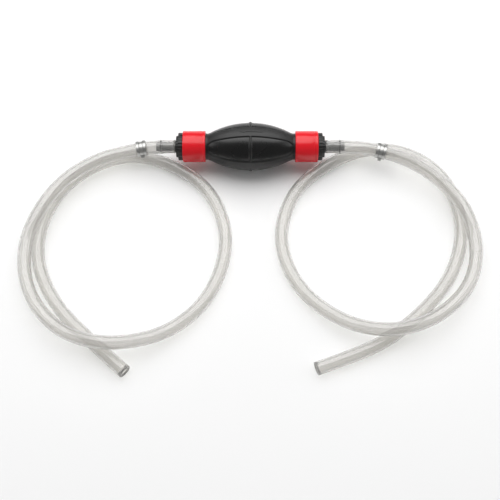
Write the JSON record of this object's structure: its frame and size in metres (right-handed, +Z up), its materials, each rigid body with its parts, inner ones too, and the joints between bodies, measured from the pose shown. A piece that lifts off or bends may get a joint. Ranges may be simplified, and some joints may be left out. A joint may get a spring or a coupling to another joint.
{
  "type": "hand siphon pump",
  "caption": "Hand-primed siphon: rubber squeeze bulb between red collars, check valves inside, barbed end fittings, and clear looped hoses with spring-band clips.",
  "frame": {"origin": "on the surface the siphon lies on, straight below the middle of the squeeze bulb", "axes": "+X along the bulb's axis towards the inlet hose, +Y away from the side where the hoses' loops lie, +Z up"},
  "size_m": [0.4487, 0.2562, 0.0486],
  "materials": {
    "bulb_rubber": "moulded, semi-gloss",
    "collar_plastic": "moulded, satin gloss",
    "fitting_plastic": "moulded, satin",
    "valve_plastic": "natural acetal, as moulded",
    "seal_rubber": "nitrile, matt",
    "spring_steel": "drawn stainless wire",
    "hose_pvc": "extruded clear flexible PVC",
    "clip_steel": "spring steel strip, dull zinc"
  },
  "bodies": {
    "root": {"squeeze_bulb": "bulb_rubber", "inlet_collar": "collar_plastic", "inlet_fitting": "fitting_plastic", "inlet_valve_seat": "valve_plastic", "inlet_valve_guide": "valve_plastic", "inlet_valve_spring": "spring_steel", "inlet_hose": "hose_pvc", "inlet_hose_end": "hose_pvc", "inlet_hose_clip": "clip_steel", "outlet_collar": "collar_plastic", "outlet_fitting": "fitting_plastic", "outlet_valve_seat": "valve_plastic", "outlet_valve_guide": "valve_plastic", "outlet_valve_spring": "spring_steel", "outlet_hose": "hose_pvc", "outlet_hose_end": "hose_pvc", "outlet_hose_clip": "clip_steel"},
    "upper_wall": {"bulb_upper_wall": "bulb_rubber"},
    "inlet_poppet": {"inlet_valve_poppet": "valve_plastic", "inlet_valve_seal": "seal_rubber"},
    "outlet_poppet": {"outlet_valve_poppet": "valve_plastic", "outlet_valve_seal": "seal_rubber"}
  },
  "joints": [
    {"name": "bulb_squeeze", "type": "slide", "parent": "root", "child": "upper_wall", "axis": [0, 0, -1], "range_m": [0, 0.0065], "stiffness_N_per_m": 1200},
    {"name": "inlet_valve_lift", "type": "slide", "parent": "root", "child": "inlet_poppet", "axis": [-1, 0, 0], "range_m": [0, 0.002], "stiffness_N_per_m": 60, "springref_m": -0.003, "deforming": ["inlet_valve_spring"]},
    {"name": "outlet_valve_lift", "type": "slide", "parent": "root", "child": "outlet_poppet", "axis": [-1, 0, 0], "range_m": [0, 0.002], "stiffness_N_per_m": 60, "springref_m": -0.003, "deforming": ["outlet_valve_spring"]}
  ],
  "couplings": [
    {"joint": "outlet_valve_lift", "follows": "bulb_squeeze", "ratio": 0.3}
  ]
}
